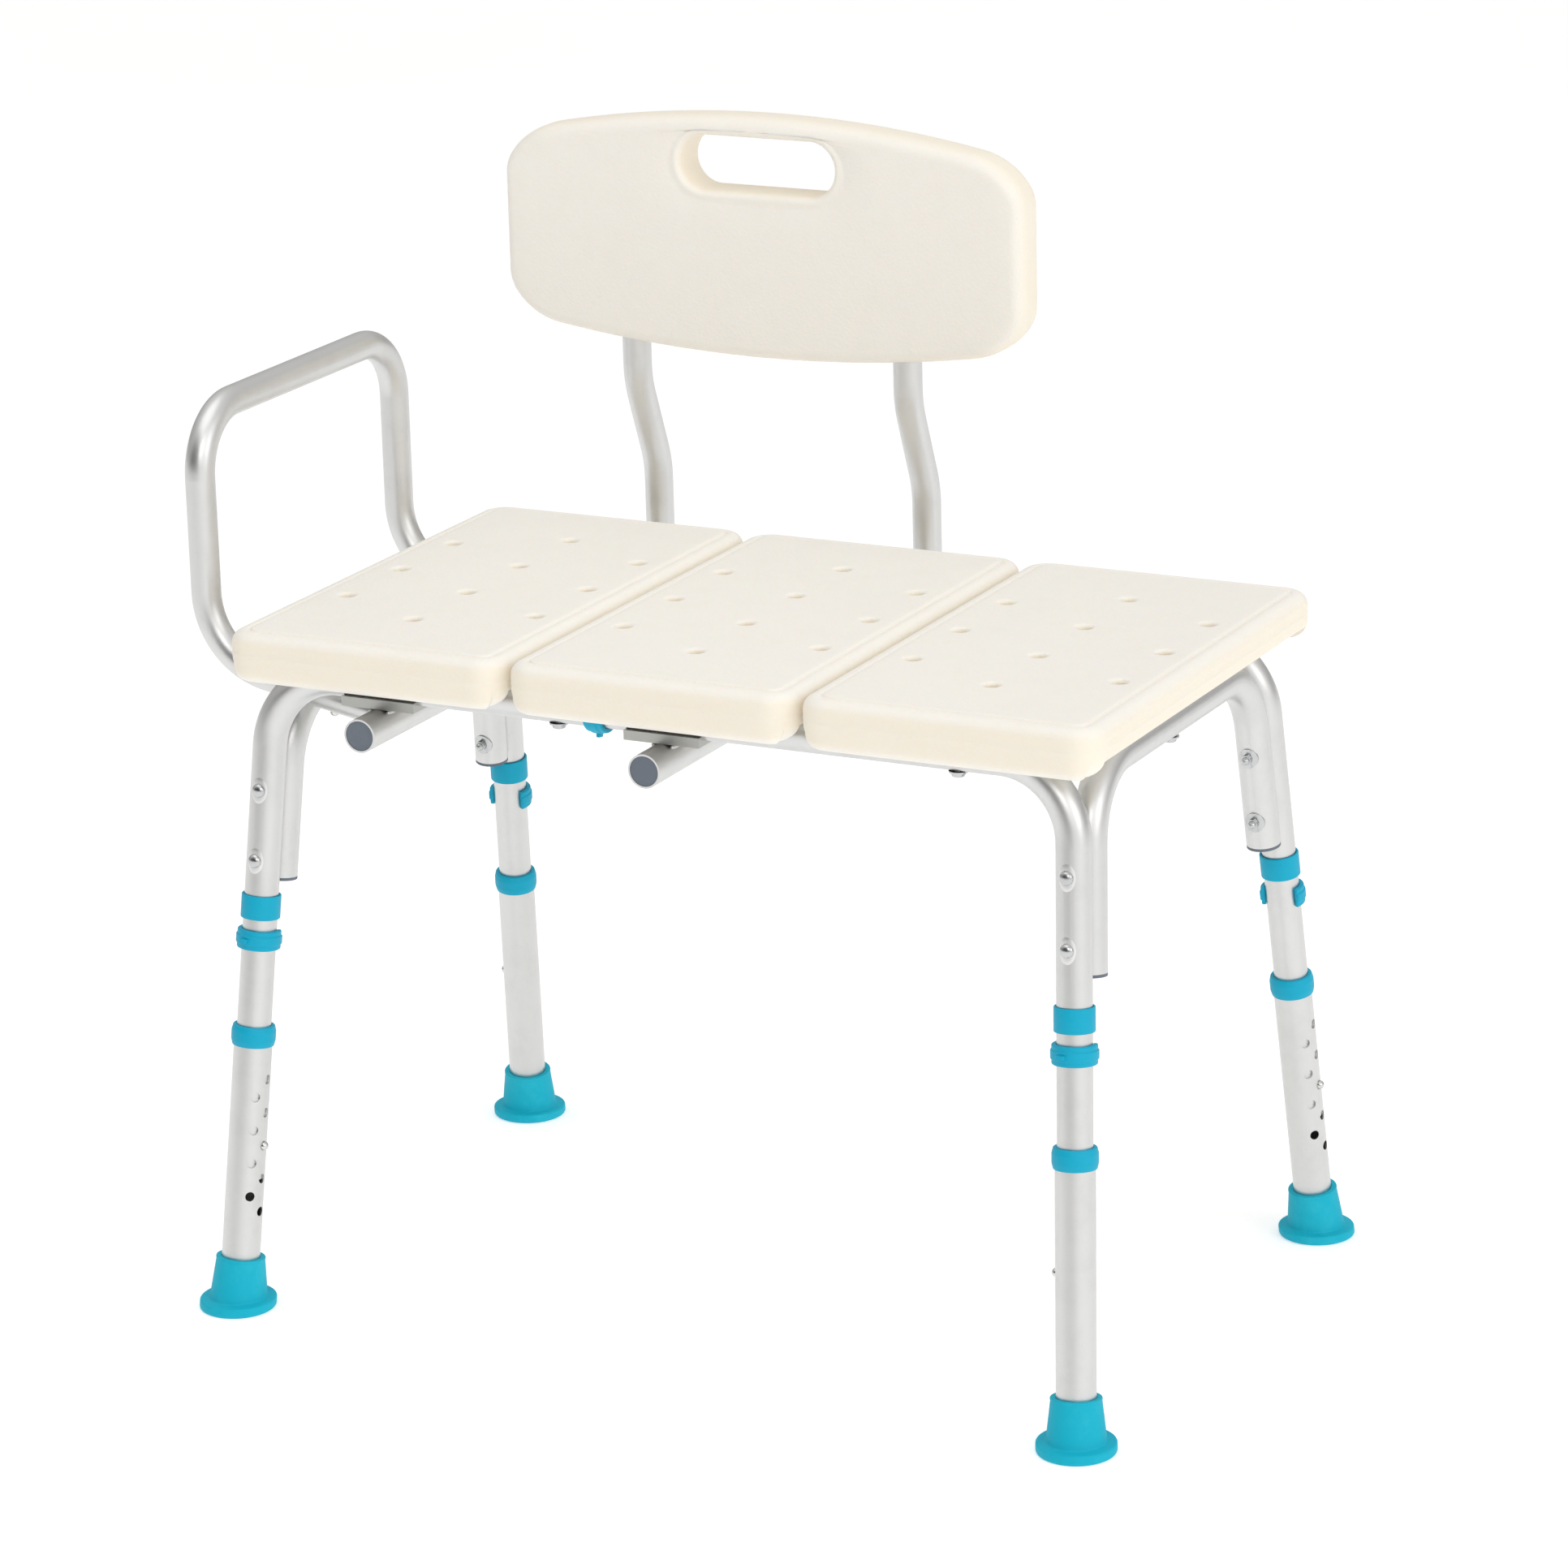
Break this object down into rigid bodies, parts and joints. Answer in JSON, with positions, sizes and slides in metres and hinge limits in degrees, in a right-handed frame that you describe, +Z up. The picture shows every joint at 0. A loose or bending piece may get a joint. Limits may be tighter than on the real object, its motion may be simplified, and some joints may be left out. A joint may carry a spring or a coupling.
{
  "type": "bath transfer bench",
  "caption": "Bath transfer bench with a panelled plastic seat, a backrest, one arm rail and splayed, height-adjustable aluminium legs on rubber tips.",
  "frame": {"origin": "on the floor, under the middle of the whole bench's box", "axes": "+X towards the open end, away from the arm rail; +Y towards the backrest; +Z up"},
  "size_m": [0.7724, 0.5277, 0.833],
  "materials": {
    "cream_plastic": "fine pebbled, matt",
    "satin_aluminium": "satin anodised",
    "brushed_aluminium": "brushed extrusion",
    "teal_plastic": "semi-matt moulded",
    "teal_rubber": "semi-matt moulded",
    "slate_plastic": "semi-matt moulded",
    "zinc_steel": "bright zinc plate",
    "spring_steel": "polished stainless"
  },
  "bodies": {
    "frame": {"front_rail_left": "satin_aluminium", "front_rail_right": "satin_aluminium", "rear_rail_left": "satin_aluminium", "rear_rail_right": "satin_aluminium", "side_frame_left": "satin_aluminium", "side_frame_right": "satin_aluminium", "frame_end_caps": "slate_plastic", "coupling_sleeves": "satin_aluminium", "frame_bolts": "zinc_steel", "saddle_washers": "zinc_steel", "cap_nuts": "zinc_steel", "seat_panel_left": "cream_plastic", "seat_panel_middle": "cream_plastic", "seat_panel_right": "cream_plastic", "seat_bolts": "zinc_steel", "seat_washers": "zinc_steel", "receiver_tube_left": "satin_aluminium", "receiver_tube_right": "satin_aluminium", "receiver_saddles": "brushed_aluminium", "receiver_plugs": "slate_plastic", "arm_spigots": "satin_aluminium"},
    "rail_pin_clip_front": {"rail_clip_front": "teal_plastic"},
    "rail_pin_clip_rear": {"rail_clip_rear": "teal_plastic"},
    "leg_fl": {"leg_tube_fl": "satin_aluminium", "upper_collar_fl": "teal_plastic"},
    "foot_fl": {"lower_tube_fl": "satin_aluminium", "lower_collar_fl": "teal_plastic", "foot_tip_fl": "teal_rubber"},
    "leg_button_fl": {"snap_button_fl": "spring_steel"},
    "leg_pin_clip_fl": {"leg_clip_fl": "teal_plastic"},
    "leg_fr": {"leg_tube_fr": "satin_aluminium", "upper_collar_fr": "teal_plastic"},
    "foot_fr": {"lower_tube_fr": "satin_aluminium", "lower_collar_fr": "teal_plastic", "foot_tip_fr": "teal_rubber"},
    "leg_button_fr": {"snap_button_fr": "spring_steel"},
    "leg_pin_clip_fr": {"leg_clip_fr": "teal_plastic"},
    "leg_rr": {"leg_tube_rr": "satin_aluminium", "upper_collar_rr": "teal_plastic"},
    "foot_rr": {"lower_tube_rr": "satin_aluminium", "lower_collar_rr": "teal_plastic", "foot_tip_rr": "teal_rubber"},
    "leg_button_rr": {"snap_button_rr": "spring_steel"},
    "leg_pin_clip_rr": {"leg_clip_rr": "teal_plastic"},
    "leg_rl": {"leg_tube_rl": "satin_aluminium", "upper_collar_rl": "teal_plastic"},
    "foot_rl": {"lower_tube_rl": "satin_aluminium", "lower_collar_rl": "teal_plastic", "foot_tip_rl": "teal_rubber"},
    "leg_button_rl": {"snap_button_rl": "spring_steel"},
    "leg_pin_clip_rl": {"leg_clip_rl": "teal_plastic"},
    "backrest": {"backrest_post_left": "satin_aluminium", "backrest_post_right": "satin_aluminium", "backrest_panel": "cream_plastic", "backrest_screws": "zinc_steel"},
    "backrest_button_left_body": {"backrest_button_left": "spring_steel"},
    "backrest_button_right_body": {"backrest_button_right": "spring_steel"},
    "arm_button_front_body": {"arm_button_front": "spring_steel"},
    "arm_button_rear_body": {"arm_button_rear": "spring_steel"},
    "arm": {"arm_rail": "satin_aluminium"}
  },
  "joints": [
    {"name": "leg_release_fl", "type": "slide", "parent": "frame", "child": "leg_fl", "axis": [-0.0481, -0.1234, -0.9912], "range_m": [0, 0.06]},
    {"name": "leg_height_fl", "type": "slide", "parent": "leg_fl", "child": "foot_fl", "axis": [0.0481, 0.1234, 0.9912], "range_m": [-0.0508, 0.0508]},
    {"name": "leg_button_press_fl", "type": "slide", "parent": "leg_fl", "child": "leg_button_fl", "axis": [-0.9988, 0.0059, 0.0477], "range_m": [0, 0.0056], "stiffness_N_per_m": 1500, "springref_m": -0.004, "deforming": ["snap_button_fl"]},
    {"name": "leg_clip_pull_fl", "type": "slide", "parent": "leg_fl", "child": "leg_pin_clip_fl", "axis": [0.006, -0.9924, 0.1233], "range_m": [0, 0.03], "deforming": ["leg_clip_fl"]},
    {"name": "leg_release_fr", "type": "slide", "parent": "frame", "child": "leg_fr", "axis": [0.0481, -0.1234, -0.9912], "range_m": [0, 0.06]},
    {"name": "leg_height_fr", "type": "slide", "parent": "leg_fr", "child": "foot_fr", "axis": [-0.0481, 0.1234, 0.9912], "range_m": [-0.0508, 0.0508]},
    {"name": "leg_button_press_fr", "type": "slide", "parent": "leg_fr", "child": "leg_button_fr", "axis": [0.9988, 0.0059, 0.0477], "range_m": [0, 0.0056], "stiffness_N_per_m": 1500, "springref_m": -0.004, "deforming": ["snap_button_fr"]},
    {"name": "leg_clip_pull_fr", "type": "slide", "parent": "leg_fr", "child": "leg_pin_clip_fr", "axis": [-0.006, -0.9924, 0.1233], "range_m": [0, 0.03], "deforming": ["leg_clip_fr"]},
    {"name": "leg_release_rr", "type": "slide", "parent": "frame", "child": "leg_rr", "axis": [0.0481, 0.1234, -0.9912], "range_m": [0, 0.06]},
    {"name": "leg_height_rr", "type": "slide", "parent": "leg_rr", "child": "foot_rr", "axis": [-0.0481, -0.1234, 0.9912], "range_m": [-0.0508, 0.0508]},
    {"name": "leg_button_press_rr", "type": "slide", "parent": "leg_rr", "child": "leg_button_rr", "axis": [-0.9988, 0.0059, -0.0477], "range_m": [0, 0.0056], "stiffness_N_per_m": 1500, "springref_m": -0.004, "deforming": ["snap_button_rr"]},
    {"name": "leg_clip_pull_rr", "type": "slide", "parent": "leg_rr", "child": "leg_pin_clip_rr", "axis": [-0.006, 0.9924, 0.1233], "range_m": [0, 0.03], "deforming": ["leg_clip_rr"]},
    {"name": "leg_release_rl", "type": "slide", "parent": "frame", "child": "leg_rl", "axis": [-0.0481, 0.1234, -0.9912], "range_m": [0, 0.06]},
    {"name": "leg_height_rl", "type": "slide", "parent": "leg_rl", "child": "foot_rl", "axis": [0.0481, -0.1234, 0.9912], "range_m": [-0.0508, 0.0508]},
    {"name": "leg_button_press_rl", "type": "slide", "parent": "leg_rl", "child": "leg_button_rl", "axis": [0.9988, 0.0059, -0.0477], "range_m": [0, 0.0056], "stiffness_N_per_m": 1500, "springref_m": -0.004, "deforming": ["snap_button_rl"]},
    {"name": "leg_clip_pull_rl", "type": "slide", "parent": "leg_rl", "child": "leg_pin_clip_rl", "axis": [0.006, 0.9924, 0.1233], "range_m": [0, 0.03], "deforming": ["leg_clip_rl"]},
    {"name": "rail_clip_pull_front", "type": "slide", "parent": "frame", "child": "rail_pin_clip_front", "axis": [0, 0, -1], "range_m": [0, 0.03], "deforming": ["rail_clip_front"]},
    {"name": "rail_clip_pull_rear", "type": "slide", "parent": "frame", "child": "rail_pin_clip_rear", "axis": [0, 0, -1], "range_m": [0, 0.03], "deforming": ["rail_clip_rear"]},
    {"name": "backrest_slide", "type": "slide", "parent": "frame", "child": "backrest", "axis": [0, 1, 0], "range_m": [0, 0.17]},
    {"name": "backrest_button_press_left", "type": "slide", "parent": "backrest", "child": "backrest_button_left_body", "axis": [0, 0, 1], "range_m": [0, 0.005], "stiffness_N_per_m": 1500, "springref_m": -0.004, "deforming": ["backrest_button_left"]},
    {"name": "backrest_button_press_right", "type": "slide", "parent": "backrest", "child": "backrest_button_right_body", "axis": [0, 0, 1], "range_m": [0, 0.005], "stiffness_N_per_m": 1500, "springref_m": -0.004, "deforming": ["backrest_button_right"]},
    {"name": "arm_slide", "type": "slide", "parent": "frame", "child": "arm", "axis": [-0.9847, 0, 0.1743], "range_m": [0, 0.07]},
    {"name": "arm_button_press_front", "type": "slide", "parent": "frame", "child": "arm_button_front_body", "axis": [0.1743, 0, 0.9847], "range_m": [0, 0.005], "stiffness_N_per_m": 1500, "springref_m": -0.004, "deforming": ["arm_button_front"]},
    {"name": "arm_button_press_rear", "type": "slide", "parent": "frame", "child": "arm_button_rear_body", "axis": [0.1743, 0, 0.9847], "range_m": [0, 0.005], "stiffness_N_per_m": 1500, "springref_m": -0.004, "deforming": ["arm_button_rear"]}
  ]
}
